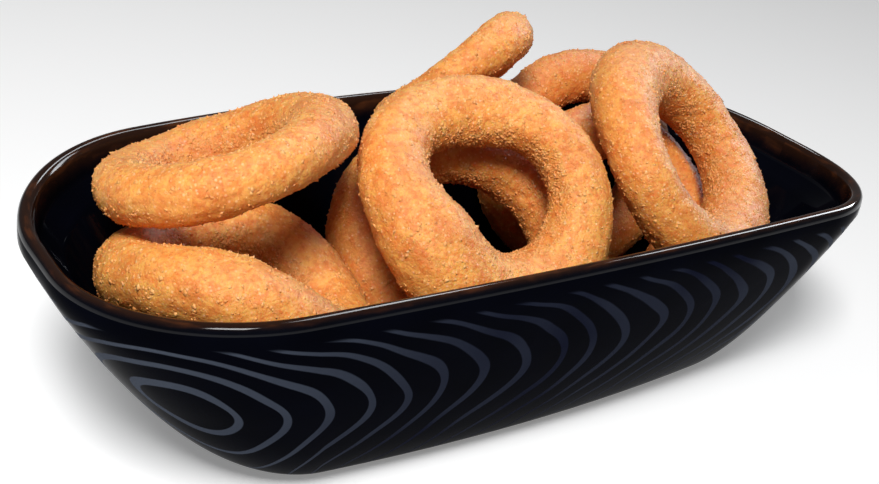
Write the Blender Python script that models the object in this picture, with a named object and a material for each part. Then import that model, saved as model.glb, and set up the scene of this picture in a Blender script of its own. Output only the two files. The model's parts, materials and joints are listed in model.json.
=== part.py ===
"""Onion rings side: breaded onion rings heaped in a glazed boat-shaped dish.

Run it with: blender --background --python part.py
Metres, +Z up. The origin is the centre of the dish's base, which stands on
z = 0. +X runs along the dish and +Y to its back.

Every ring is a torus whose vertices are moved: its centre line becomes an
oval that is bent a little like a crisp, its tube swells and thins on the way
round, and low lumps sink into the crust. It is then turned and set down in
the heap. The dish is one loft, from the base up its outer wall, over the
rolled lip and down the inner wall to the floor.
"""

import math
import random

import bmesh
import bpy
from mathutils import Matrix, Vector

MM = 0.001

# Dish, all in millimetres: the rim's outline
RIM_HALF_LENGTH = 100.0
RIM_HALF_WIDTH = 45.0
RIM_SIDE_BULGE = 7.0
RIM_CORNER = 40.8
RIM_HEIGHT = 51.4
END_DIP = 4.8
CORNER_LIFT = 1.8

# The base's outline
BASE_HALF_LENGTH = 61.0
BASE_HALF_WIDTH = 25.0
BASE_SIDE_BULGE = 4.0
BASE_CORNER = 13.0

# Wall, lip and floor
LIP_HEIGHT = 8.5
LIP_TUCK = 0.947
WALL_SWELL = 0.6
WALL = 4.2
FLOOR = 6.0
FLOOR_FILLET = 4.0
FLOOR_RISE = 2.0
FLOOR_THINNING = 0.6
FLOOR_FLARE = 0.4
CORNER_ROOM = 1.0
OUTER_ROWS = 7
ROW_CROWDING = 1.6
SHARP_ANGLE = 50
INNER_ROWS = 5
SIDE_STEPS = 6
CORNER_STEPS = 10
END_STEPS = 2
SETTLING_PASSES = 20

# Lip: inset from the rim's outline, and drop below its top
LIP_PROFILE = (
    (0.0, 4.2),
    (0.0, 1.3),
    (0.8, 0.2),
    (1.5, 0.0),
    (2.3, 0.2),
    (3.0, 1.3),
    (3.8, 5.0),
)

# Rings
RING_STEPS = 30
TUBE_STEPS = 12
TUBE_FLATNESS = 0.95
LUMP_DEPTH = 0.05
LUMP_WAVES = ((3, 1), (5, -2), (7, 1), (2, 3))


class Ring:
    """One onion ring, in millimetres and degrees.

    centre is its middle. The ring starts level, turns about its own axis by
    turn, leans over by lean and faces the compass direction toward, counted
    from +X to +Y. width and length are across the centre line, tube is the
    tube's radius, bend lifts two opposite sides and drops the other two.
    swell and squeeze are (share, direction) pairs: once and twice a turn.
    pads are (direction, height, spread) lumps of batter on the hole's side.
    """

    def __init__(self, name, centre, lean, toward, turn, width, length, tube, bend, swell, squeeze, pads=()):
        self.name = name
        self.centre = centre
        self.lean = lean
        self.toward = toward
        self.turn = turn
        self.width = width
        self.length = length
        self.tube = tube
        self.bend = bend
        self.swell = swell
        self.squeeze = squeeze
        self.pads = pads


RINGS = (
    Ring(
        name="ring_front",
        centre=(-9.0, -10.0, 49.5),
        lean=43,
        toward=-96,
        turn=-72,
        width=43.4,
        length=44.8,
        tube=7.9,
        bend=3.0,
        swell=(0.21, 57),
        squeeze=(0.07, 163),
        pads=((10, 4.0, 36), (240, 3.2, 48)),
    ),
    Ring(
        name="ring_behind",
        centre=(-4.5, 0.0, 32.0),
        lean=52,
        toward=-112,
        turn=62,
        width=47.2,
        length=42.0,
        tube=8.0,
        bend=-0.5,
        swell=(0.05, -125),
        squeeze=(0.02, 40),
    ),
    Ring(
        name="ring_left_top",
        centre=(-60.0, 9.5, 55.0),
        lean=25,
        toward=116,
        turn=-58,
        width=42.6,
        length=39.6,
        tube=7.3,
        bend=-1.0,
        swell=(0.21, -18),
        squeeze=(0.09, -43),
    ),
    Ring(
        name="ring_left_front",
        centre=(-61.5, -5.5, 36.0),
        lean=18,
        toward=9,
        turn=48,
        width=40.4,
        length=41.6,
        tube=8.1,
        bend=4.0,
        swell=(0.02, 18),
        squeeze=(0.05, -38),
    ),
    Ring(
        name="ring_back_top",
        centre=(6.2, 27.8, 60.3),
        lean=50,
        toward=117,
        turn=-45,
        width=18.6,
        length=33.0,
        tube=5.6,
        bend=-0.7,
        swell=(0.17, -55),
        squeeze=(0.09, 70),
    ),
    Ring(
        name="ring_back",
        centre=(47.5, 24.0, 36.0),
        lean=71,
        toward=-99,
        turn=0,
        width=43.8,
        length=43.8,
        tube=7.2,
        bend=0.8,
        swell=(0.07, -21),
        squeeze=(0.06, -27),
    ),
    Ring(
        name="ring_right",
        centre=(48.5, -9.0, 50.5),
        lean=45,
        toward=-62,
        turn=66,
        width=45.8,
        length=45.0,
        tube=8.0,
        bend=1.0,
        swell=(0.01, 90),
        squeeze=(0.14, -144),
        pads=((345, 2.0, 45), (255, -1.6, 30)),
    ),
    Ring(
        name="ring_right_under",
        centre=(45.5, 4.0, 31.0),
        lean=52,
        toward=-98,
        turn=-66,
        width=40.0,
        length=42.0,
        tube=7.6,
        bend=-0.5,
        swell=(0.05, 53),
        squeeze=(0.09, -161),
    ),
    Ring(
        name="ring_left_under",
        centre=(-53.5, 5.5, 18.5),
        lean=17,
        toward=-52,
        turn=-71,
        width=37.2,
        length=33.8,
        tube=6.8,
        bend=1.6,
        swell=(0.03, -82),
        squeeze=(0.14, -10),
    ),
)

GLAZE = (0.012, 0.013, 0.020)
CRUST_TONES = {
    "golden": (0.72, 0.36, 0.12),
    "amber": (0.66, 0.30, 0.09),
    "brown": (0.52, 0.22, 0.07),
}


def clear_scene():
    """Remove every object of the starting scene."""
    for thing in list(bpy.data.objects):
        bpy.data.objects.remove(thing, do_unlink=True)


def make_collection(name):
    """A collection of that name in the scene."""
    collection = bpy.data.collections.new(name)
    bpy.context.scene.collection.children.link(collection)
    return collection


def make_material(name, colour, roughness, metallic=0.0):
    """A plain Principled material."""
    material = bpy.data.materials.new(name)
    material.use_nodes = True
    shader = material.node_tree.nodes["Principled BSDF"]
    shader.inputs["Base Color"].default_value = (*colour, 1.0)
    shader.inputs["Roughness"].default_value = roughness
    shader.inputs["Metallic"].default_value = metallic
    return material


def blend(start, end, share):
    """The value a share of the way from start to end."""
    return start + (end - start) * share


def quarter_outline(half_length, half_width, side_bulge, corner):
    """The +X +Y quarter of a boat-shaped outline, from (half_length, 0) to (0, half_width)."""
    corner_x = half_length - corner
    corner_y = half_width - corner
    lean = 0.0
    for _ in range(SETTLING_PASSES):
        slope = 2.0 * side_bulge * corner_x / half_length ** 2
        lean = math.atan(slope)
        touch_x = corner_x + corner * math.sin(lean)
        touch_y = half_width - side_bulge * (touch_x / half_length) ** 2
        corner_y = max(touch_y - corner * math.cos(lean), 0.0)
    points = [(half_length, corner_y * step / END_STEPS) for step in range(END_STEPS)]
    sweep = math.pi / 2 - lean
    for step in range(CORNER_STEPS + 1):
        angle = sweep * step / CORNER_STEPS
        points.append((corner_x + corner * math.cos(angle), corner_y + corner * math.sin(angle)))
    last_x, last_y = points[-1]
    for step in range(1, SIDE_STEPS + 1):
        x = last_x * (1.0 - step / SIDE_STEPS)
        y = half_width - side_bulge * (x / half_length) ** 2
        y += (last_y - (half_width - side_bulge * (last_x / half_length) ** 2)) * x / last_x
        points.append((x, y))
    return points


def full_outline(half_length, half_width, side_bulge, corner):
    """The whole outline, anticlockwise, from the +X end."""
    quarter = quarter_outline(half_length, half_width, side_bulge, corner)
    back = [(-x, y) for x, y in reversed(quarter[:-1])]
    upper = quarter + back
    lower = [(x, -y) for x, y in reversed(upper[1:-1])]
    return upper + lower


def rim_rise(x, y):
    """How far the rim stands above RIM_HEIGHT: it dips to both ends and lifts at the corners."""
    along = (x / RIM_HALF_LENGTH) ** 2
    across = (y / RIM_HALF_WIDTH) ** 2
    return CORNER_LIFT * along * across - END_DIP * along


def wall_share(height):
    """How far the wall has flared from the base's outline to the rim's, at a height up the wall."""
    share = min(max(height / (RIM_HEIGHT - LIP_HEIGHT), 0.0), 1.0)
    return LIP_TUCK * share ** WALL_SWELL


def dish_row(flare, inset, height):
    """One closed row of the dish's loft: flare 0 is the base's outline, 1 the rim's."""
    half_length = blend(BASE_HALF_LENGTH, RIM_HALF_LENGTH, flare) - inset
    half_width = blend(BASE_HALF_WIDTH, RIM_HALF_WIDTH, flare) - inset
    side_bulge = blend(BASE_SIDE_BULGE, RIM_SIDE_BULGE, flare)
    corner = min(blend(BASE_CORNER, RIM_CORNER, flare) - inset, half_width - side_bulge - CORNER_ROOM)
    rim = full_outline(RIM_HALF_LENGTH, RIM_HALF_WIDTH, RIM_SIDE_BULGE, RIM_CORNER)
    row = full_outline(half_length, half_width, side_bulge, corner)
    lift = min(height / (RIM_HEIGHT - LIP_HEIGHT), 1.0)
    return [(x, y, height + lift * rim_rise(*edge)) for (x, y), edge in zip(row, rim)]


def dish_rows():
    """All rows of the loft, from the base's edge over the lip to the edge of the inner floor."""
    wall_top = RIM_HEIGHT - LIP_HEIGHT
    rows = []
    for step in range(OUTER_ROWS + 1):
        height = wall_top * (step / OUTER_ROWS) ** ROW_CROWDING
        rows.append(dish_row(wall_share(height), 0.0, height))
    for inset, drop in LIP_PROFILE:
        rows.append(dish_row(1.0, inset, RIM_HEIGHT - drop))
    for step in range(INNER_ROWS):
        height = blend(wall_top, FLOOR + FLOOR_RISE, step / (INNER_ROWS - 1))
        rows.append(dish_row(wall_share(height - FLOOR * FLOOR_THINNING), WALL, height))
    flare = wall_share(FLOOR * FLOOR_FLARE)
    floor = dish_row(flare, WALL + FLOOR_FILLET, FLOOR)
    rows.append([(x, y, FLOOR) for x, y, _ in floor])
    return rows


def build_dish(collection, material):
    """The glazed dish, one closed body."""
    mesh = bpy.data.meshes.new("dish")
    form = bmesh.new()
    rings = [[form.verts.new(Vector(point) * MM) for point in row] for row in dish_rows()]
    count = len(rings[0])
    for low, high in zip(rings, rings[1:]):
        for index in range(count):
            following = (index + 1) % count
            form.faces.new((low[index], low[following], high[following], high[index]))
    form.faces.new(list(reversed(rings[0])))
    form.faces.new(rings[-1])
    bmesh.ops.recalc_face_normals(form, faces=form.faces)
    form.to_mesh(mesh)
    form.free()
    mesh.materials.append(material)
    mesh.shade_smooth()
    mesh.set_sharp_from_angle(angle=math.radians(SHARP_ANGLE))
    dish = bpy.data.objects.new("dish", mesh)
    collection.objects.link(dish)
    return dish


def lump_phases(name):
    """Where a ring's lumps start, drawn from its name's own seed."""
    draw = random.Random(sum(ord(letter) * (place + 1) for place, letter in enumerate(name)))
    return [draw.uniform(0.0, 2.0 * math.pi) for _ in LUMP_WAVES]


def tube_radius(ring, phases, around, across):
    """The tube's radius at an angle round the ring and an angle round the tube."""
    share, direction = ring.swell
    twice, bearing = ring.squeeze
    radius = ring.tube
    radius *= 1.0 + share * math.cos(around - math.radians(direction))
    radius *= 1.0 + twice * math.cos(2.0 * around - math.radians(bearing))
    wave = 0.0
    for (turns, rolls), phase in zip(LUMP_WAVES, phases):
        wave += math.cos(turns * around + rolls * across + phase) / len(LUMP_WAVES)
    radius *= 1.0 - LUMP_DEPTH * (0.5 + 0.5 * wave)
    hole_side = max(-math.cos(across), 0.0)
    for middle, height, spread in ring.pads:
        away = math.remainder(math.degrees(around) - middle, 360.0) / spread
        radius += height * hole_side * math.exp(-away * away)
    return radius


def build_ring(ring, collection, material):
    """One onion ring in its place in the heap."""
    bpy.ops.mesh.primitive_torus_add(
        major_segments=RING_STEPS, minor_segments=TUBE_STEPS, major_radius=1.0, minor_radius=0.3)
    body = bpy.context.object
    body.name = ring.name
    body.data.name = ring.name
    phases = lump_phases(ring.name)
    for vertex in body.data.vertices:
        x, y, z = vertex.co
        around = math.atan2(y, x)
        across = math.atan2(z, math.hypot(x, y) - 1.0)
        radius = tube_radius(ring, phases, around, across)
        outward = radius * math.cos(across)
        vertex.co.x = (ring.width / 2 + outward) * math.cos(around) * MM
        vertex.co.y = (ring.length / 2 + outward) * math.sin(around) * MM
        vertex.co.z = (ring.bend * math.cos(2.0 * around) + TUBE_FLATNESS * radius * math.sin(across)) * MM
    facing = Matrix.Rotation(math.radians(ring.toward), 4, "Z")
    leaning = Matrix.Rotation(math.radians(ring.lean), 4, "Y")
    turned = Matrix.Rotation(math.radians(ring.turn), 4, "Z")
    body.location = Vector(ring.centre) * MM
    body.rotation_euler = (facing @ leaning @ turned).to_euler()
    body.data.materials.append(material)
    body.data.shade_smooth()
    for holder in list(body.users_collection):
        holder.objects.unlink(body)
    collection.objects.link(body)
    return body


def main():
    clear_scene()
    collection = make_collection("onion_rings_side")
    glaze = make_material("dish_glaze", GLAZE, 0.12)
    build_dish(collection, glaze)
    tones = list(CRUST_TONES.items())
    for index, ring in enumerate(RINGS):
        tone, colour = tones[index % len(tones)]
        crust = make_material("crust_" + tone + "_" + ring.name, colour, 0.75)
        build_ring(ring, collection, crust)


main()
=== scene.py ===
"""Looks for the onion rings side: crumbed onion rings heaped in a black glazed dish.

The dish is rebuilt as a fine loft of the same outlines as its solid. Every
ring starts from its own solid, is smoothed, gets a craggy crust and is strewn
with loose crumbs by Geometry Nodes. Metres, +Z up, in the model's own frame.
Colours are linear red, green and blue.
"""

import json
import math

import bmesh
import bpy
from mathutils import Matrix, Vector

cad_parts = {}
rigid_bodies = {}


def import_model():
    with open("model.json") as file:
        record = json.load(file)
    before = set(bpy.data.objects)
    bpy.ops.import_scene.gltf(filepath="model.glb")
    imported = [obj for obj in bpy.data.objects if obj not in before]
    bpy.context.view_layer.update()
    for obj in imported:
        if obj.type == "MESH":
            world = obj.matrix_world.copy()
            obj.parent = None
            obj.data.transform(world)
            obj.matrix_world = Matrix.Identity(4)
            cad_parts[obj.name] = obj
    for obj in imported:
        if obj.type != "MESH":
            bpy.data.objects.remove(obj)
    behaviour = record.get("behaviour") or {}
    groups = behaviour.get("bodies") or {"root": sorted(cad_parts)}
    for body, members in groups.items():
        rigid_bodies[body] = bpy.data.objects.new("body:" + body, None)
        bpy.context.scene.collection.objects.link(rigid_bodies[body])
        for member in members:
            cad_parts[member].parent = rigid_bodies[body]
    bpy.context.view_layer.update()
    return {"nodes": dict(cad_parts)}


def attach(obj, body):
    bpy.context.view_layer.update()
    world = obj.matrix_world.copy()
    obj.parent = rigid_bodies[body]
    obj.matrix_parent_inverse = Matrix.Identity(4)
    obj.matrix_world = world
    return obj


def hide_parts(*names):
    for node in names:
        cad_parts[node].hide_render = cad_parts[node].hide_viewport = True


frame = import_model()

MM = 0.001

# The dish, in millimetres, as its solid is drawn
RIM_HALF_LENGTH = 100.0
RIM_HALF_WIDTH = 45.0
RIM_SIDE_BULGE = 7.0
RIM_CORNER = 40.8
RIM_HEIGHT = 51.4
END_DIP = 4.8
CORNER_LIFT = 1.8
BASE_HALF_LENGTH = 61.0
BASE_HALF_WIDTH = 25.0
BASE_SIDE_BULGE = 4.0
BASE_CORNER = 13.0
LIP_HEIGHT = 8.5
LIP_TUCK = 0.947
WALL_SWELL = 0.6
WALL = 4.2
FLOOR = 6.0
FLOOR_FILLET = 4.0
FLOOR_RISE = 2.0
FLOOR_THINNING = 0.6
FLOOR_FLARE = 0.4
CORNER_ROOM = 1.0
FOOT_PROFILE = (
    (6.0, 0.0),
    (0.5, 0.0),
    (0.1, 0.15),
)
WALL_TOP = RIM_HEIGHT - LIP_HEIGHT
LIP_PROFILE = (
    (0.0, 4.2),
    (0.0, 2.6),
    (0.02, 1.7),
    (0.15, 1.0),
    (0.45, 0.45),
    (0.9, 0.12),
    (1.5, 0.0),
    (2.1, 0.12),
    (2.6, 0.5),
    (2.95, 1.1),
    (3.15, 1.8),
    (3.45, 3.2),
    (3.8, 5.0),
    (4.05, 6.6),
)

# The ornament on the wall, as shares of the way round and of the way up the wall
RIPPLE_SECTIONS = 2
RIPPLE_PHASE = 0.19
RIPPLE_ROUNDING = 0.985
RIPPLE_COUNT = 56.0
RIPPLE_REACH = 0.050
RIPPLE_SLANT = 3.6
RIPPLE_WANDER = 0.016
RIPPLE_TAIL = 0.034
RIPPLE_SWELL = 0.070
RIPPLE_BAND = (0.02, 1.07)
RIPPLE_BAND_EDGES = (0.04, 0.02)
RIPPLE_LOWERING = 2.0
RIPPLE_WANDER_MM = 22.0
RIPPLE_LEAST_STRETCH = 0.01
RIPPLE_SOFTNESS = 0.014

# The glaze's colours and shine
GLAZE_BLACK = (0.0008, 0.0009, 0.0016)
GLAZE_BLUISH = (0.0016, 0.0020, 0.0050)
GLAZE_CLOUD_MM = 14.0
GLAZE_WAVE_MM = 9.0
GLAZE_WAVE_STRENGTH = 0.12
GLAZE_WAVE_HEIGHT = 0.0006
SLATE_DIM = (0.003, 0.004, 0.014)
SLATE_BRIGHT = (0.052, 0.062, 0.084)
SLATE_CLOUD_MM = 30.0
SLATE_CLOUD_RANGE = (0.36, 0.62)
SLATE_CLOUD_SHARES = (0.02, 0.24)
SLATE_END_RANGE = (0.034, 0.085)
SLATE_END_SHARE = 0.75
BARE_CLAY = (0.10, 0.075, 0.055)
BARE_HEIGHTS = (0.0002, 0.0007)
BARE_ROUGHNESS = 0.8
WALL_ROUGHNESS = 0.10
SLATE_ROUGHNESS = 0.30
WALL_SPECULAR = 0.002
LIP_BROWN = (0.018, 0.0070, 0.0040)
LIP_STREAK = (0.060, 0.019, 0.007)
LIP_STREAK_COUNTS = (55.0, 5.0)
LIP_STREAK_RANGE = (0.48, 0.70)
LIP_RAGGED_MM = 3.0
LIP_RAGGED_REACH = 0.10
LIP_BROWN_START = (1.34, 1.52)
LIP_BROWN_END = (1.80, 2.00)
LIP_ROUGHNESS = 0.08
LIP_SPECULAR = 0.14
INSIDE_ROUGHNESS = 0.06
INSIDE_SPECULAR = 0.04

# How finely the dish's loft is cut
FOOT_ROWS = len(FOOT_PROFILE)
BAND_ROWS = 3
OUTER_ROWS = 30
INNER_ROWS = 22
FLOOR_ROWS = 6
SIDE_STEPS = 24
CORNER_STEPS = 34
END_STEPS = 6
ROW_CROWDING = 1.6
SETTLING_PASSES = 20

# The rings' crust: sizes in metres, densities a square metre
RINGS = [name for name in frame["nodes"] if name.startswith("ring_")]
CRUST_SETTINGS = {
    "Smoothing": 3,
    "Outset": 0.00028,
    "Lump Size": 0.010,
    "Lump Depth": 0.0012,
    "Grain Size": 0.0024,
    "Grain Height": 0.00034,
}
CRUMB_SETTINGS = {
    "Fine Density": 900000.0,
    "Fine Size": 0.00014,
    "Coarse Density": 480000.0,
    "Hole Density": 3200000.0,
    "Middle Size": 0.00022,
    "Coarse Size": 0.00070,
}
# Painted shade over each whole ring: more for the rings lying under and behind others
RING_PAINTED_SHADE = {
    "ring_left_top": 0.10,
    "ring_left_front": 0.10,
    "ring_back_top": 0.15,
    "ring_right": 0.25,
    "ring_behind": 0.35,
    "ring_back": 0.65,
    "ring_right_under": 0.65,
    "ring_left_under": 0.80,
}
WELD_DISTANCE = 0.00001
QUAD_FACE_LIMIT = 0.9
QUAD_SHAPE_LIMIT = 1.2
LUMP_MIDDLE = 0.6
GRAIN_MIDDLE = 0.5
SMALL_GRAIN_SIZE = 0.52
SMALL_GRAIN_HEIGHT = 0.6
# Where a ring's underside and hole's side are: the crust is darker there as painted shade, and the hole's
# side also gets more crumbs
HOLE_SIDE_RANGE = (-0.2, -0.8)
UNDERSIDE_RANGE = (0.0, -0.9)
HOLE_PAINTED_SHADE = 0.5

# The loose crumbs: they sink by a share of their size, and large ones are rare
CRUMB_SINKING = 0.34
CRUMB_RARITY = 2.4
CRUMB_FORM_LOW = (0.7, 0.7, 0.55)
CRUMB_FORM_HIGH = (1.3, 1.3, 1.0)
FLAKE_RADIUS = 1.2
FLAKE_HEIGHT = 1.7
CLUMP_SCALE = 400.0
CLUMP_RANGE = (0.35, 0.68)
CLUMP_SHARES = (0.15, 2.1)
JAGGED_SCALE = 1700.0
JAGGED_REACH = 0.0005

# The crust's colours, grains and softness
CRUST_COLOURS = ((0.88, 0.415, 0.096), (0.81, 0.275, 0.055), (0.57, 0.115, 0.014))
CRUMB_COLOURS = ((0.93, 0.46, 0.15), (0.88, 0.33, 0.085), (0.70, 0.18, 0.032))
# Colour of pale grains: partly real pale crumbs, partly painted glints
PALE_GRAIN_AND_GLINT = (0.98, 0.62, 0.36)
CRUST_SOFTNESS = 0.70
CRUMB_SOFTNESS = 0.10
MOTTLE_MM = 1.8
MOTTLE_RANGE = (0.34, 0.62)
PATCH_MM = 9.0
PATCH_RANGE = (0.50, 0.72)
PATCH_SHARE = 0.36
# How far the painted shade pulls the crust towards its deep colour
PAINTED_SHADE_SHARE = 0.55
GRAIN_MM = 0.62
DARK_GRAINS = (0.0, 0.40)
DARK_GRAIN_SHARE = 0.34
# Pale grains, partly painted glints at the grains' middles
PALE_AND_GLINT_GRAINS = (0.80, 0.95)
PALE_AND_GLINT_GRAIN_EDGE = (0.60, 0.10)
PALE_AND_GLINT_GRAIN_SHARE = 0.6
FINE_MM = 0.40
FINE_RANGE = (0.3, 0.7)
CRUST_ROUGHNESS = (0.42, 0.66)
CRUST_SPECULAR = 0.35
CRUST_GLOW_RADIUS = (1.0, 0.40, 0.15)
CRUST_GLOW_SCALE = 0.0012
BUMP_STRENGTH = 0.45
GRAIN_BUMP_HEIGHT = 0.00024
FINE_BUMP_HEIGHT = 0.00028

# The camera: where it looks, from how far, its lean and its lens
CAMERA_TARGET = Vector((0.00922, 0.02648, 0.017))
CAMERA_TURN = -0.66656
CAMERA_TILT = 0.47098
CAMERA_DISTANCE = 0.31005
CAMERA_ROLL = 0.1635
CAMERA_LENS = 50.91
SENSOR_WIDTH = 36.0
NEAREST_SEEN = 0.01

# The floor, the room and the lights, which look at the middle of the heap
FLOOR_REACH = 3.0
FLOOR_COLOUR = (0.88, 0.88, 0.88, 1.0)
FLOOR_GLOW = 0.22
FLOOR_ROUGHNESS = 0.9
FLOOR_SPECULAR = 0.1
ROOM_COLOUR = (0.97, 0.985, 1.0, 1.0)
ROOM_STRENGTH = 0.15
LIGHT_AIM = Vector((0.0, 0.0, 0.03))
STRIP_COLOUR = (0.90, 0.95, 1.0)


def add(tree, kind, inputs=None, **settings):
    """A node of a tree with its settings and inputs: a socket is linked, anything else is a value."""
    node = tree.nodes.new(kind)
    for name, value in settings.items():
        setattr(node, name, value)
    for name, value in (inputs or {}).items():
        socket = node.inputs[name]
        if isinstance(value, bpy.types.NodeSocket):
            tree.links.new(value, socket)
        else:
            socket.default_value = value
    return node


def calculate(tree, operation, first, second=None, third=None):
    """One step of arithmetic on sockets or numbers, in either kind of tree."""
    inputs = {0: first}
    if second is not None:
        inputs[1] = second
    if third is not None:
        inputs[2] = third
    return add(tree, "ShaderNodeMath", inputs, operation=operation).outputs[0]


def fade(tree, value, low, high, start=0.0, end=1.0):
    """The value mapped smoothly from low..high to start..end and held there."""
    inputs = {"Value": value, "From Min": low, "From Max": high, "To Min": start, "To Max": end}
    return add(tree, "ShaderNodeMapRange", inputs, interpolation_type="SMOOTHSTEP").outputs[0]


def blend_colours(tree, share, first, second):
    """Two colours mixed by a share."""
    node = add(tree, "ShaderNodeMix", data_type="RGBA")
    for socket, value in zip((node.inputs[0], node.inputs[6], node.inputs[7]), (share, first, second)):
        if isinstance(value, bpy.types.NodeSocket):
            tree.links.new(value, socket)
        elif isinstance(value, tuple):
            socket.default_value = (*value, 1.0)
        else:
            socket.default_value = value
    return node.outputs[2]


def new_material(name):
    """A Principled material: its tree and its shader node."""
    material = bpy.data.materials.new(name)
    material.use_nodes = True
    tree = material.node_tree
    return material, tree, tree.nodes["Principled BSDF"]


def object_places(tree):
    """The Object coordinates that the solid textures read."""
    return add(tree, "ShaderNodeTexCoord").outputs["Object"]


def speckle(tree, places, size_mm, detail=2.0, roughness=0.5, distortion=0.0):
    """Noise whose blotches are about size_mm across."""
    inputs = {"Vector": places, "Scale": 1.0 / (size_mm * MM), "Detail": detail,
              "Roughness": roughness, "Distortion": distortion}
    return add(tree, "ShaderNodeTexNoise", inputs).outputs[0]


def cells(tree, places, size_mm):
    """Grains of about size_mm: the distance to the nearest one's middle and that grain's own random share."""
    inputs = {"Vector": places, "Scale": 1.0 / (size_mm * MM)}
    grain = add(tree, "ShaderNodeTexVoronoi", inputs)
    chance = add(tree, "ShaderNodeSeparateColor", {0: grain.outputs["Color"]}).outputs[0]
    return grain.outputs["Distance"], chance


def quarter_outline(half_length, half_width, side_bulge, corner):
    """The +X +Y quarter of the dish's outline, from (half_length, 0) to (0, half_width)."""
    corner_x = half_length - corner
    corner_y = half_width - corner
    lean = 0.0
    for _ in range(SETTLING_PASSES):
        lean = math.atan(2.0 * side_bulge * corner_x / half_length ** 2)
        touch_x = corner_x + corner * math.sin(lean)
        touch_y = half_width - side_bulge * (touch_x / half_length) ** 2
        corner_y = max(touch_y - corner * math.cos(lean), 0.0)
    points = [(half_length, corner_y * step / END_STEPS) for step in range(END_STEPS)]
    sweep = math.pi / 2 - lean
    for step in range(CORNER_STEPS + 1):
        angle = sweep * step / CORNER_STEPS
        points.append((corner_x + corner * math.cos(angle), corner_y + corner * math.sin(angle)))
    last_x, last_y = points[-1]
    gap = last_y - (half_width - side_bulge * (last_x / half_length) ** 2)
    for step in range(1, SIDE_STEPS + 1):
        x = last_x * (1.0 - step / SIDE_STEPS)
        points.append((x, half_width - side_bulge * (x / half_length) ** 2 + gap * x / last_x))
    return points


def full_outline(half_length, half_width, side_bulge, corner):
    """The whole outline, anticlockwise, from the +X end."""
    quarter = quarter_outline(half_length, half_width, side_bulge, corner)
    upper = quarter + [(-x, y) for x, y in reversed(quarter[:-1])]
    return upper + [(x, -y) for x, y in reversed(upper[1:-1])]


def blend(start, end, share):
    """The value a share of the way from start to end."""
    return start + (end - start) * share


def wall_share(height):
    """How far the wall has flared from the base's outline to the rim's."""
    return LIP_TUCK * min(max(height / WALL_TOP, 0.0), 1.0) ** WALL_SWELL


def rim_rise(x, y):
    """How far the rim stands above RIM_HEIGHT at a place on its outline."""
    along = (x / RIM_HALF_LENGTH) ** 2
    across = (y / RIM_HALF_WIDTH) ** 2
    return CORNER_LIFT * along * across - END_DIP * along


RIM_OUTLINE = full_outline(RIM_HALF_LENGTH, RIM_HALF_WIDTH, RIM_SIDE_BULGE, RIM_CORNER)


def dish_row(flare, inset, height):
    """One closed row of the dish: flare 0 is the base's outline, 1 the rim's."""
    half_length = blend(BASE_HALF_LENGTH, RIM_HALF_LENGTH, flare) - inset
    half_width = blend(BASE_HALF_WIDTH, RIM_HALF_WIDTH, flare) - inset
    side_bulge = blend(BASE_SIDE_BULGE, RIM_SIDE_BULGE, flare)
    widest = half_width - side_bulge - CORNER_ROOM
    corner = min(blend(BASE_CORNER, RIM_CORNER, flare) - inset, widest)
    row = full_outline(half_length, half_width, side_bulge, corner)
    lift = min(height / WALL_TOP, 1.0)
    return [(x, y, height + lift * rim_rise(*edge)) for (x, y), edge in zip(row, RIM_OUTLINE)]


def dish_rows():
    """Every row of the loft with its height on the glaze's map: up the outside, over the lip, down inside."""
    rows = [dish_row(0.0, inset, height) for inset, height in FOOT_PROFILE]
    for step in range(1, OUTER_ROWS + 1):
        height = WALL_TOP * (step / OUTER_ROWS) ** ROW_CROWDING
        rows.append(dish_row(wall_share(height), 0.0, height))
    for inset, drop in LIP_PROFILE:
        rows.append(dish_row(1.0, inset, RIM_HEIGHT - drop))
    for step in range(INNER_ROWS):
        height = blend(WALL_TOP, FLOOR + FLOOR_RISE, step / (INNER_ROWS - 1))
        rows.append(dish_row(wall_share(height - FLOOR * FLOOR_THINNING), WALL, height))
    last = rows[-1]
    flat = dish_row(wall_share(FLOOR * FLOOR_FLARE), WALL + FLOOR_FILLET, FLOOR)
    floor = [(x, y, FLOOR) for x, y, _ in flat]
    for step in range(1, FLOOR_ROWS + 1):
        share = step / FLOOR_ROWS
        drop = 1.0 - (1.0 - share) ** 2
        rows.append([(blend(a[0], b[0], share), blend(a[1], b[1], share), blend(a[2], b[2], drop))
                     for a, b in zip(last, floor)])
    return rows


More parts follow.
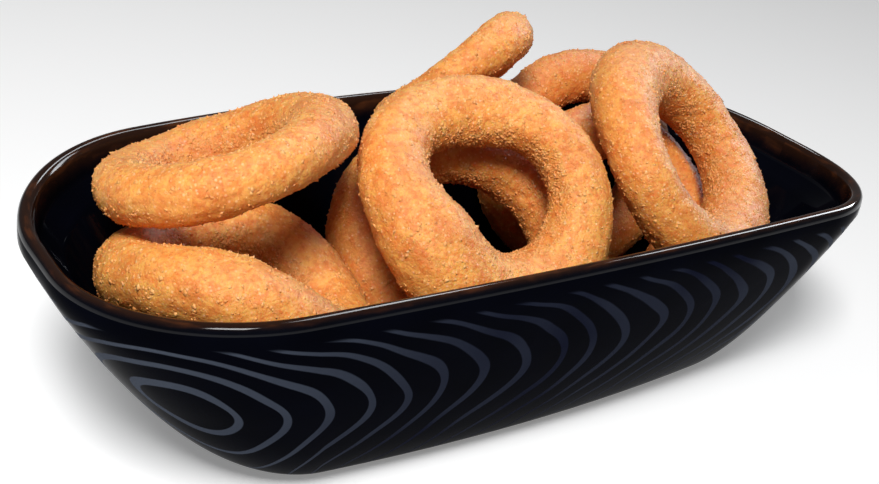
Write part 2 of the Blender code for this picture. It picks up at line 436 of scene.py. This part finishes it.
def build_dish():
    """The dish as one smooth closed shell.

    Its glaze_map has the way round in metres as u. As v it has 0 to 1 up the
    outer wall, 1 to 2 over the lip and 2 to 3 down the inside.
    """
    rows = dish_rows()
    count = len(rows[0])
    lip_row = FOOT_ROWS + OUTER_ROWS - 1
    inner_row = lip_row + len(LIP_PROFILE)
    way_round = [0.0]
    for here, there in zip(RIM_OUTLINE, RIM_OUTLINE[1:] + RIM_OUTLINE[:1]):
        way_round.append(way_round[-1] + math.dist(here, there))

    def way_up(row):
        if row <= lip_row:
            return (row - FOOT_ROWS + 1) / OUTER_ROWS if row >= FOOT_ROWS else 0.0
        if row <= inner_row:
            return 1.0 + (row - lip_row) / len(LIP_PROFILE)
        return 2.0 + (row - inner_row) / (len(rows) - inner_row)

    form = bmesh.new()
    chart = form.loops.layers.uv.new("glaze_map")
    loops = [[form.verts.new(Vector(point) * MM) for point in row] for row in rows]
    for level, (low, high) in enumerate(zip(loops, loops[1:])):
        for index in range(count):
            following = (index + 1) % count
            face = form.faces.new((low[index], low[following], high[following], high[index]))
            face.material_index = 0 if level < lip_row + BAND_ROWS else 1 if level < inner_row else 2
            places = ((index, level), (index + 1, level), (index + 1, level + 1), (index, level + 1))
            for corner, (across, up) in zip(face.loops, places):
                corner[chart].uv = (way_round[across] / way_round[-1], way_up(up))
    form.faces.new(list(reversed(loops[0])))
    form.faces.new(loops[-1]).material_index = 2
    bmesh.ops.recalc_face_normals(form, faces=form.faces)
    mesh = bpy.data.meshes.new("glazed_dish")
    form.to_mesh(mesh)
    form.free()
    for glaze in (wall_glaze(), lip_glaze(), inside_glaze()):
        mesh.materials.append(glaze)
    mesh.shade_smooth()
    dish = bpy.data.objects.new("glazed_dish", mesh)
    bpy.context.scene.collection.objects.link(dish)
    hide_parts("dish")
    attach(dish, "root")


def glaze_chart(tree):
    """The glaze's map as two sockets: the way round and the way up."""
    chart = add(tree, "ShaderNodeUVMap", uv_map="glaze_map").outputs["UV"]
    parts = add(tree, "ShaderNodeSeparateXYZ", {0: chart})
    return parts.outputs["X"], parts.outputs["Y"]


def black_glaze(tree, places):
    """The glaze's own colour: nearly black, with bluish clouds."""
    return blend_colours(tree, speckle(tree, places, GLAZE_CLOUD_MM), GLAZE_BLACK, GLAZE_BLUISH)


def glaze_ripple(tree, shader, places):
    """The slow unevenness of a glazed surface."""
    wave = speckle(tree, places, GLAZE_WAVE_MM, 1.0)
    inputs = {"Height": wave, "Strength": GLAZE_WAVE_STRENGTH, "Distance": GLAZE_WAVE_HEIGHT}
    bump = add(tree, "ShaderNodeBump", inputs)
    tree.links.new(bump.outputs[0], shader.inputs["Normal"])


def wall_glaze():
    """The outer wall: black glaze, slate ripples that are brighter at the ends, bare clay under the foot."""
    material, tree, shader = new_material("wall_glaze")
    places = object_places(tree)
    place = add(tree, "ShaderNodeSeparateXYZ", {0: places})
    ripple = ripple_lines(tree, *glaze_chart(tree))
    towards_end = fade(tree, calculate(tree, "ABSOLUTE", place.outputs["X"]), *SLATE_END_RANGE)
    cloud = speckle(tree, places, SLATE_CLOUD_MM, 1.0)
    brightness = fade(tree, cloud, *SLATE_CLOUD_RANGE, *SLATE_CLOUD_SHARES)
    brightness = calculate(tree, "MULTIPLY_ADD", towards_end, SLATE_END_SHARE, brightness)
    slate = blend_colours(tree, brightness, SLATE_DIM, SLATE_BRIGHT)
    colour = blend_colours(tree, ripple, black_glaze(tree, places), slate)
    bare = fade(tree, place.outputs["Z"], *BARE_HEIGHTS, 1.0, 0.0)
    colour = blend_colours(tree, bare, colour, BARE_CLAY)
    tree.links.new(colour, shader.inputs["Base Color"])
    rough = calculate(tree, "MULTIPLY_ADD", ripple, SLATE_ROUGHNESS, WALL_ROUGHNESS)
    rough = calculate(tree, "MAXIMUM", rough, calculate(tree, "MULTIPLY", bare, BARE_ROUGHNESS))
    tree.links.new(rough, shader.inputs["Roughness"])
    shader.inputs["Specular IOR Level"].default_value = WALL_SPECULAR
    glaze_ripple(tree, shader, places)
    return material


def lip_glaze():
    """The lip: the glaze runs thin over its top and shows brown, with warmer streaks along it."""
    material, tree, shader = new_material("lip_glaze")
    places = object_places(tree)
    way_round, way_up = glaze_chart(tree)
    ragged = speckle(tree, places, LIP_RAGGED_MM, 4.0)
    ragged = calculate(tree, "MULTIPLY_ADD", ragged, LIP_RAGGED_REACH, way_up)
    starting = fade(tree, ragged, *LIP_BROWN_START)
    thin = calculate(tree, "MULTIPLY", starting, fade(tree, ragged, *LIP_BROWN_END, 1.0, 0.0))
    around, across = LIP_STREAK_COUNTS
    lie = add(tree, "ShaderNodeCombineXYZ", {
        "X": calculate(tree, "MULTIPLY", way_round, around),
        "Y": calculate(tree, "MULTIPLY", way_up, across)})
    inputs = {"Vector": lie.outputs[0], "Scale": 1.0, "Detail": 3.0}
    streak = add(tree, "ShaderNodeTexNoise", inputs).outputs[0]
    brown = blend_colours(tree, fade(tree, streak, *LIP_STREAK_RANGE), LIP_BROWN, LIP_STREAK)
    colour = blend_colours(tree, thin, black_glaze(tree, places), brown)
    tree.links.new(colour, shader.inputs["Base Color"])
    shader.inputs["Roughness"].default_value = LIP_ROUGHNESS
    shader.inputs["Specular IOR Level"].default_value = LIP_SPECULAR
    glaze_ripple(tree, shader, places)
    return material


def inside_glaze():
    """The inside: deep glossy black."""
    material, tree, shader = new_material("inside_glaze")
    places = object_places(tree)
    tree.links.new(black_glaze(tree, places), shader.inputs["Base Color"])
    shader.inputs["Roughness"].default_value = INSIDE_ROUGHNESS
    shader.inputs["Specular IOR Level"].default_value = INSIDE_SPECULAR
    glaze_ripple(tree, shader, places)
    return material


def ripple_lines(tree, way_round, way_up):
    """Share of slate ornament: nested ripples that swell at their bend, mirrored from section to section."""
    angle = calculate(tree, "ADD", way_round, RIPPLE_PHASE)
    angle = calculate(tree, "MULTIPLY", angle, RIPPLE_SECTIONS * math.pi)
    wave = calculate(tree, "MULTIPLY", calculate(tree, "SINE", angle), RIPPLE_ROUNDING)
    along = calculate(tree, "DIVIDE", calculate(tree, "ARCSINE", wave), RIPPLE_SECTIONS * math.pi)
    level = calculate(tree, "SUBTRACT", 1.0, calculate(tree, "MULTIPLY", wave, wave))
    level = calculate(tree, "SQRT", level)
    run = calculate(tree, "DIVIDE", calculate(tree, "COSINE", angle), level)
    low, high = RIPPLE_BAND
    inputs = {"Value": way_up, "From Min": low, "From Max": high}
    rise = add(tree, "ShaderNodeMapRange", inputs).outputs[0]
    turn = calculate(tree, "MULTIPLY", calculate(tree, "POWER", rise, RIPPLE_LOWERING), math.pi)
    swing = calculate(tree, "MAXIMUM", calculate(tree, "SINE", turn), 0.0)
    place = calculate(tree, "MULTIPLY_ADD", swing, -RIPPLE_REACH, along)
    wander = speckle(tree, object_places(tree), RIPPLE_WANDER_MM, 1.0)
    place = calculate(tree, "MULTIPLY_ADD", wander, RIPPLE_WANDER, place)
    slope = calculate(tree, "MULTIPLY", rise, RIPPLE_SLANT)
    slope = calculate(tree, "MULTIPLY", calculate(tree, "COSINE", turn), slope)
    stretch = calculate(tree, "MULTIPLY_ADD", run, run, RIPPLE_LEAST_STRETCH)
    stretch = calculate(tree, "SQRT", calculate(tree, "MULTIPLY_ADD", slope, slope, stretch))
    turns = calculate(tree, "FRACT", calculate(tree, "MULTIPLY", place, RIPPLE_COUNT))
    width = calculate(tree, "POWER", swing, 2.0)
    width = calculate(tree, "MULTIPLY_ADD", width, RIPPLE_SWELL, RIPPLE_TAIL)
    away = calculate(tree, "ABSOLUTE", calculate(tree, "SUBTRACT", turns, 0.5))
    away = calculate(tree, "DIVIDE", away, stretch)
    line = fade(tree, calculate(tree, "SUBTRACT", width, away), -RIPPLE_SOFTNESS, RIPPLE_SOFTNESS)
    lower_edge, upper_edge = RIPPLE_BAND_EDGES
    band = calculate(tree, "MULTIPLY", fade(tree, way_up, low, low + lower_edge),
                     fade(tree, way_up, high - upper_edge, high, 1.0, 0.0))
    return calculate(tree, "MULTIPLY", line, band)


def crust_material(name, colours, softness):
    """Fried crumb crust: gold and orange patches of fine grains, with dark and pale ones among them, painted
    shade on undersides, hole sides and rings lying under others, and painted glints among the pale grains.
    """
    light, middle, deep = colours
    material, tree, shader = new_material(name)
    places = object_places(tree)
    mottle = speckle(tree, places, MOTTLE_MM, 3.0, 0.6, 0.3)
    patch = speckle(tree, places, PATCH_MM, 2.0)
    distance, chance = cells(tree, places, GRAIN_MM)
    colour = blend_colours(tree, fade(tree, mottle, *MOTTLE_RANGE), middle, light)
    # Painted shade from the crust's attribute, with random fried patches added, darkens towards the deep
    # colour
    darkening = add(tree, "ShaderNodeAttribute", attribute_name="painted_shade_share").outputs["Fac"]
    patch = fade(tree, patch, *PATCH_RANGE, 0.0, PATCH_SHARE)
    darkening = calculate(tree, "MULTIPLY_ADD", darkening, PAINTED_SHADE_SHARE, patch)
    colour = blend_colours(tree, darkening, colour, deep)
    dark = fade(tree, chance, *DARK_GRAINS, DARK_GRAIN_SHARE, 0.0)
    colour = blend_colours(tree, dark, colour, deep)
    # Pale grains: partly real pale crumbs, partly painted glints at the grains' middles
    edge = fade(tree, distance, *PALE_AND_GLINT_GRAIN_EDGE, 0.0, PALE_AND_GLINT_GRAIN_SHARE)
    pale_grain_and_glint = calculate(tree, "MULTIPLY", fade(tree, chance, *PALE_AND_GLINT_GRAINS), edge)
    colour = blend_colours(tree, pale_grain_and_glint, colour, PALE_GRAIN_AND_GLINT)
    tree.links.new(colour, shader.inputs["Base Color"])
    fine = speckle(tree, places, FINE_MM, 3.0, 0.6)
    tree.links.new(fade(tree, fine, *FINE_RANGE, *CRUST_ROUGHNESS), shader.inputs["Roughness"])
    shader.inputs["Specular IOR Level"].default_value = CRUST_SPECULAR
    shader.inputs["Subsurface Weight"].default_value = softness
    shader.inputs["Subsurface Radius"].default_value = CRUST_GLOW_RADIUS
    shader.inputs["Subsurface Scale"].default_value = CRUST_GLOW_SCALE
    inputs = {"Height": distance, "Strength": BUMP_STRENGTH, "Distance": GRAIN_BUMP_HEIGHT}
    coarse = add(tree, "ShaderNodeBump", inputs, invert=True)
    bump = add(tree, "ShaderNodeBump", {
        "Height": fine, "Strength": BUMP_STRENGTH, "Distance": FINE_BUMP_HEIGHT,
        "Normal": coarse.outputs[0]})
    tree.links.new(bump.outputs[0], shader.inputs["Normal"])
    return material


def new_tree(name, inputs):
    """A Geometry Nodes tree with a Geometry input and output and the named inputs."""
    tree = bpy.data.node_groups.new(name, "GeometryNodeTree")
    tree.interface.new_socket("Geometry", in_out="INPUT", socket_type="NodeSocketGeometry")
    for label, kind in inputs:
        tree.interface.new_socket(label, in_out="INPUT", socket_type=kind)
    tree.interface.new_socket("Geometry", in_out="OUTPUT", socket_type="NodeSocketGeometry")
    given = tree.nodes.new("NodeGroupInput").outputs
    return tree, given


def close_tree(tree, geometry, material):
    """Give the geometry its material, shade it smooth and send it to the tree's output."""
    dressed = add(tree, "GeometryNodeSetMaterial", {"Geometry": geometry, "Material": material})
    shaded = add(tree, "GeometryNodeSetShadeSmooth", {"Geometry": dressed.outputs[0]})
    add(tree, "NodeGroupOutput", {"Geometry": shaded.outputs[0]})
    return tree


def scaled(tree, vector, share):
    """A vector made longer or shorter by a share."""
    inputs = {0: vector, "Scale": share}
    return add(tree, "ShaderNodeVectorMath", inputs, operation="SCALE").outputs[0]


def hole_side(tree, centre):
    """1 on the hole's side of a ring, fading to 0 on its outer side."""
    place = add(tree, "GeometryNodeInputPosition").outputs[0]
    normal = add(tree, "GeometryNodeInputNormal").outputs[0]
    outward = add(tree, "ShaderNodeVectorMath", {0: place, 1: centre}, operation="SUBTRACT")
    outward = add(tree, "ShaderNodeVectorMath", {0: outward.outputs[0]}, operation="NORMALIZE")
    inputs = {0: normal, 1: outward.outputs[0]}
    facing = add(tree, "ShaderNodeVectorMath", inputs, operation="DOT_PRODUCT")
    return fade(tree, facing.outputs["Value"], *HOLE_SIDE_RANGE)


def crust_tree():
    """Smooths a ring's solid, raises lumps and grains on it and marks how much painted shade each place gets:
    on undersides, on the hole's side and over the whole ring.
    """
    tree, given = new_tree("craggy_crust", (
        ("Smoothing", "NodeSocketInt"),
        ("Outset", "NodeSocketFloat"),
        ("Lump Size", "NodeSocketFloat"),
        ("Lump Depth", "NodeSocketFloat"),
        ("Grain Size", "NodeSocketFloat"),
        ("Grain Height", "NodeSocketFloat"),
        ("Ring Centre", "NodeSocketVector"),
        ("Ring Painted Shade", "NodeSocketFloat"),
        ("Seed", "NodeSocketFloat"),
        ("Crust", "NodeSocketMaterial"),
    ))
    inputs = {"Mesh": given["Geometry"], "Level": given["Smoothing"]}
    smooth = add(tree, "GeometryNodeSubdivisionSurface", inputs)
    place = add(tree, "GeometryNodeInputPosition").outputs[0]
    shift = add(tree, "ShaderNodeCombineXYZ", {"X": given["Seed"], "Y": given["Seed"]}).outputs[0]
    place = add(tree, "ShaderNodeVectorMath", {0: place, 1: shift}, operation="ADD").outputs[0]

    def grains(size):
        scale = calculate(tree, "DIVIDE", 1.0, size)
        far = add(tree, "ShaderNodeTexVoronoi", {"Vector": place, "Scale": scale}).outputs["Distance"]
        return calculate(tree, "SUBTRACT", GRAIN_MIDDLE, far)

    scale = calculate(tree, "DIVIDE", 1.0, given["Lump Size"])
    inputs = {"Vector": place, "Scale": scale, "Detail": 1.0}
    lumps = add(tree, "ShaderNodeTexNoise", inputs).outputs[0]
    lumps = calculate(tree, "SUBTRACT", lumps, LUMP_MIDDLE)
    height = calculate(tree, "MULTIPLY_ADD", lumps, given["Lump Depth"], given["Outset"])
    large = grains(given["Grain Size"])
    height = calculate(tree, "MULTIPLY_ADD", large, given["Grain Height"], height)
    small = calculate(tree, "MULTIPLY", given["Grain Size"], SMALL_GRAIN_SIZE)
    low = calculate(tree, "MULTIPLY", given["Grain Height"], SMALL_GRAIN_HEIGHT)
    height = calculate(tree, "MULTIPLY_ADD", grains(small), low, height)
    normal = add(tree, "GeometryNodeInputNormal").outputs[0]
    offset = scaled(tree, normal, height)
    raised = add(tree, "GeometryNodeSetPosition", {"Geometry": smooth.outputs[0], "Offset": offset})
    # Painted shade, darker towards the undersides and the hole's side, plus the ring's whole share
    upward = add(tree, "ShaderNodeSeparateXYZ", {0: normal}).outputs["Z"]
    below = fade(tree, upward, *UNDERSIDE_RANGE)
    inner = calculate(tree, "MULTIPLY", hole_side(tree, given["Ring Centre"]), HOLE_PAINTED_SHADE)
    darkening = calculate(tree, "ADD", calculate(tree, "MAXIMUM", below, inner), given["Ring Painted Shade"])
    marked = add(tree, "GeometryNodeStoreNamedAttribute", {
        "Geometry": raised.outputs[0], "Name": "painted_shade_share", "Value": darkening}, data_type="FLOAT")
    whole = add(tree, "GeometryNodeRealizeInstances", {"Geometry": marked.outputs[0]})
    return close_tree(tree, whole.outputs[0], given["Crust"])


def random_vector(tree, low, high):
    """A random vector for each point, between two corners."""
    node = add(tree, "FunctionNodeRandomValue", data_type="FLOAT_VECTOR")
    node.inputs[0].default_value = low
    node.inputs[1].default_value = high
    return node.outputs[0]


def strew(tree, surface, crumb, density, smallest, largest, seed):
    """Crumbs of one form, strewn over a surface and sunk a little into it, as real geometry."""
    inputs = {"Mesh": surface, "Density": density, "Seed": seed}
    strewn = add(tree, "GeometryNodeDistributePointsOnFaces", inputs)
    spread = add(tree, "FunctionNodeRandomValue", {"Seed": seed}, data_type="FLOAT")
    chance = [socket for socket in spread.outputs if socket.enabled][0]
    share = calculate(tree, "POWER", chance, CRUMB_RARITY)
    reach = calculate(tree, "SUBTRACT", largest, smallest)
    size = calculate(tree, "MULTIPLY_ADD", share, reach, smallest)
    depth = calculate(tree, "MULTIPLY", size, -CRUMB_SINKING)
    inward = scaled(tree, strewn.outputs["Normal"], depth)
    sunk = add(tree, "GeometryNodeSetPosition", {"Geometry": strewn.outputs[0], "Offset": inward})
    form = random_vector(tree, CRUMB_FORM_LOW, CRUMB_FORM_HIGH)
    placed = add(tree, "GeometryNodeInstanceOnPoints", {
        "Points": sunk.outputs[0], "Instance": crumb.outputs[0],
        "Rotation": random_vector(tree, (0.0, 0.0, 0.0), (math.tau, math.tau, math.tau)),
        "Scale": scaled(tree, form, size)})
    return add(tree, "GeometryNodeRealizeInstances", {"Geometry": placed.outputs[0]}).outputs[0]


def crumb_tree():
    """Strews fine crumbs evenly and coarse crumbs in clumps, more of them on the hole's side of the ring."""
    tree, given = new_tree("loose_crumbs", (
        ("Fine Density", "NodeSocketFloat"),
        ("Fine Size", "NodeSocketFloat"),
        ("Coarse Density", "NodeSocketFloat"),
        ("Hole Density", "NodeSocketFloat"),
        ("Middle Size", "NodeSocketFloat"),
        ("Coarse Size", "NodeSocketFloat"),
        ("Ring Centre", "NodeSocketVector"),
        ("Seed", "NodeSocketInt"),
        ("Crumb", "NodeSocketMaterial"),
    ))
    inner = hole_side(tree, given["Ring Centre"])
    place = add(tree, "GeometryNodeInputPosition").outputs[0]
    inputs = {"Vector": place, "Scale": CLUMP_SCALE, "Detail": 1.0}
    clumps = add(tree, "ShaderNodeTexNoise", inputs).outputs[0]
    clumps = fade(tree, clumps, *CLUMP_RANGE, *CLUMP_SHARES)
    coarse = calculate(tree, "MULTIPLY_ADD", inner, given["Hole Density"], given["Coarse Density"])
    coarse = calculate(tree, "MULTIPLY", coarse, clumps)
    inputs = {"Vertices": 3, "Radius Bottom": FLAKE_RADIUS, "Depth": FLAKE_HEIGHT}
    flake = add(tree, "GeometryNodeMeshCone", inputs)
    lump = add(tree, "GeometryNodeMeshUVSphere", {"Radius": 1.0, "Segments": 4, "Rings": 2})
    both = add(tree, "GeometryNodeJoinGeometry")
    for form, density, smallest, largest in (
            (flake, given["Fine Density"], given["Fine Size"], given["Middle Size"]),
            (lump, coarse, given["Middle Size"], given["Coarse Size"])):
        crumbs = strew(tree, given["Geometry"], form, density, smallest, largest, given["Seed"])
        tree.links.new(crumbs, both.inputs[0])
    jagged = add(tree, "ShaderNodeTexNoise", {"Scale": JAGGED_SCALE, "Detail": 0.0})
    shove = add(tree, "ShaderNodeVectorMath", {
        0: jagged.outputs["Color"], 1: (0.5, 0.5, 0.5)}, operation="SUBTRACT")
    shove = scaled(tree, shove.outputs[0], JAGGED_REACH)
    uneven = add(tree, "GeometryNodeSetPosition", {"Geometry": both.outputs[0], "Offset": shove})
    return close_tree(tree, uneven.outputs[0], given["Crumb"])


def apply_tree(piece, tree, values):
    """Run a tree on a piece with the named values and keep the result as a plain mesh."""
    modifier = piece.modifiers.new(tree.name, "NODES")
    modifier.node_group = tree
    for socket in tree.interface.items_tree:
        if socket.in_out == "INPUT" and socket.name in values:
            modifier[socket.identifier] = values[socket.name]
    finished = piece.evaluated_get(bpy.context.evaluated_depsgraph_get())
    made = bpy.data.meshes.new_from_object(finished)
    made.name = piece.name
    piece.modifiers.remove(modifier)
    piece.data = made


def ring_form(name):
    """A copy of a ring's solid, welded and in quads, as a new piece."""
    form = bmesh.new()
    form.from_mesh(bpy.data.objects[name].data)
    bmesh.ops.remove_doubles(form, verts=form.verts, dist=WELD_DISTANCE)
    bmesh.ops.join_triangles(
        form,
        faces=form.faces,
        angle_face_threshold=QUAD_FACE_LIMIT,
        angle_shape_threshold=QUAD_SHAPE_LIMIT,
    )
    mesh = bpy.data.meshes.new("crust_of_" + name)
    form.to_mesh(mesh)
    form.free()
    piece = bpy.data.objects.new("crust_of_" + name, mesh)
    bpy.context.scene.collection.objects.link(piece)
    return piece


def build_ring(name, seed, trees, crust, crumb):
    """One fried ring: its crust in place of its solid, and the crumbs on it."""
    ring = ring_form(name)
    places = [vertex.co for vertex in ring.data.vertices]
    centre = sum(places, Vector()) / len(places)
    apply_tree(ring, trees["crust"], {
        **CRUST_SETTINGS,
        "Ring Centre": centre,
        # painted shade over the whole ring
        "Ring Painted Shade": RING_PAINTED_SHADE.get(name, 0.0),
        "Seed": float(seed),
        "Crust": crust,
    })
    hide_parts(name)
    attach(ring, "root")
    crumbs = bpy.data.objects.new("crumbs_on_" + name, ring.data.copy())
    bpy.context.scene.collection.objects.link(crumbs)
    apply_tree(crumbs, trees["crumbs"], {
        **CRUMB_SETTINGS,
        "Ring Centre": centre,
        "Seed": seed,
        "Crumb": crumb,
    })
    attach(crumbs, "root")


def build_rings():
    """All rings of the heap; those lying under and behind others get more painted shade."""
    trees = {"crust": crust_tree(), "crumbs": crumb_tree()}
    crust = crust_material("golden_crust", CRUST_COLOURS, CRUST_SOFTNESS)
    crumb = crust_material("golden_crumbs", CRUMB_COLOURS, CRUMB_SOFTNESS)
    for index, name in enumerate(RINGS):
        build_ring(name, index + 1, trees, crust, crumb)


def place_camera():
    """The camera at the photograph's angle."""
    back = Vector((
        math.sin(CAMERA_TURN) * math.cos(CAMERA_TILT),
        -math.cos(CAMERA_TURN) * math.cos(CAMERA_TILT),
        math.sin(CAMERA_TILT),
    ))
    across = Vector((0.0, 0.0, 1.0)).cross(back).normalized()
    upward = back.cross(across)
    right = across * math.cos(CAMERA_ROLL) + upward * math.sin(CAMERA_ROLL)
    up = upward * math.cos(CAMERA_ROLL) - across * math.sin(CAMERA_ROLL)
    lens = bpy.data.cameras.new("camera")
    lens.lens = CAMERA_LENS
    lens.sensor_width = SENSOR_WIDTH
    lens.clip_start = NEAREST_SEEN
    camera = bpy.data.objects.new("camera", lens)
    turned = Matrix((right, up, back)).transposed().to_4x4()
    camera.matrix_world = Matrix.Translation(CAMERA_TARGET + back * CAMERA_DISTANCE) @ turned
    bpy.context.scene.collection.objects.link(camera)
    bpy.context.scene.camera = camera


def softbox(name, place, size, power, colour=(1.0, 1.0, 1.0), gloss_only=False):
    """A rectangular soft light that looks at the heap; with gloss_only it makes shine and nothing else."""
    light = bpy.data.lights.new(name, "AREA")
    light.shape = "RECTANGLE"
    light.size, light.size_y = size
    light.energy = power
    light.color = colour
    lamp = bpy.data.objects.new(name, light)
    lamp.location = place
    lamp.visible_diffuse = not gloss_only
    aim = LIGHT_AIM - Vector(place)
    lamp.rotation_euler = aim.to_track_quat("-Z", "Y").to_euler()
    bpy.context.scene.collection.objects.link(lamp)


def build_studio():
    """Pale floor, dim white surroundings and soft lights."""
    mesh = bpy.data.meshes.new("pale_floor")
    form = bmesh.new()
    bmesh.ops.create_grid(form, x_segments=1, y_segments=1, size=FLOOR_REACH)
    form.to_mesh(mesh)
    form.free()
    material, _, shader = new_material("pale_floor")
    shader.inputs["Base Color"].default_value = FLOOR_COLOUR
    shader.inputs["Emission Color"].default_value = (1.0, 1.0, 1.0, 1.0)
    shader.inputs["Emission Strength"].default_value = FLOOR_GLOW
    shader.inputs["Roughness"].default_value = FLOOR_ROUGHNESS
    shader.inputs["Specular IOR Level"].default_value = FLOOR_SPECULAR
    mesh.materials.append(material)
    floor = bpy.data.objects.new("pale_floor", mesh)
    bpy.context.scene.collection.objects.link(floor)
    world = bpy.data.worlds.new("white_room")
    world.use_nodes = True
    background = world.node_tree.nodes["Background"]
    background.inputs["Color"].default_value = ROOM_COLOUR
    background.inputs["Strength"].default_value = ROOM_STRENGTH
    bpy.context.scene.world = world
    softbox("overhead_light", (-0.30, -0.29, 0.62), (0.22, 0.22), 5.8)
    softbox("right_strip_light", (0.62, 0.06, 0.42), (0.14, 0.44), 5.0, STRIP_COLOUR, gloss_only=True)
    softbox("left_strip_light", (0.26, 0.30, 0.62), (0.12, 0.36), 3.2, STRIP_COLOUR, gloss_only=True)
    bpy.context.scene.view_settings.view_transform = "Standard"


def main():
    place_camera()
    build_studio()
    build_dish()
    build_rings()


main()
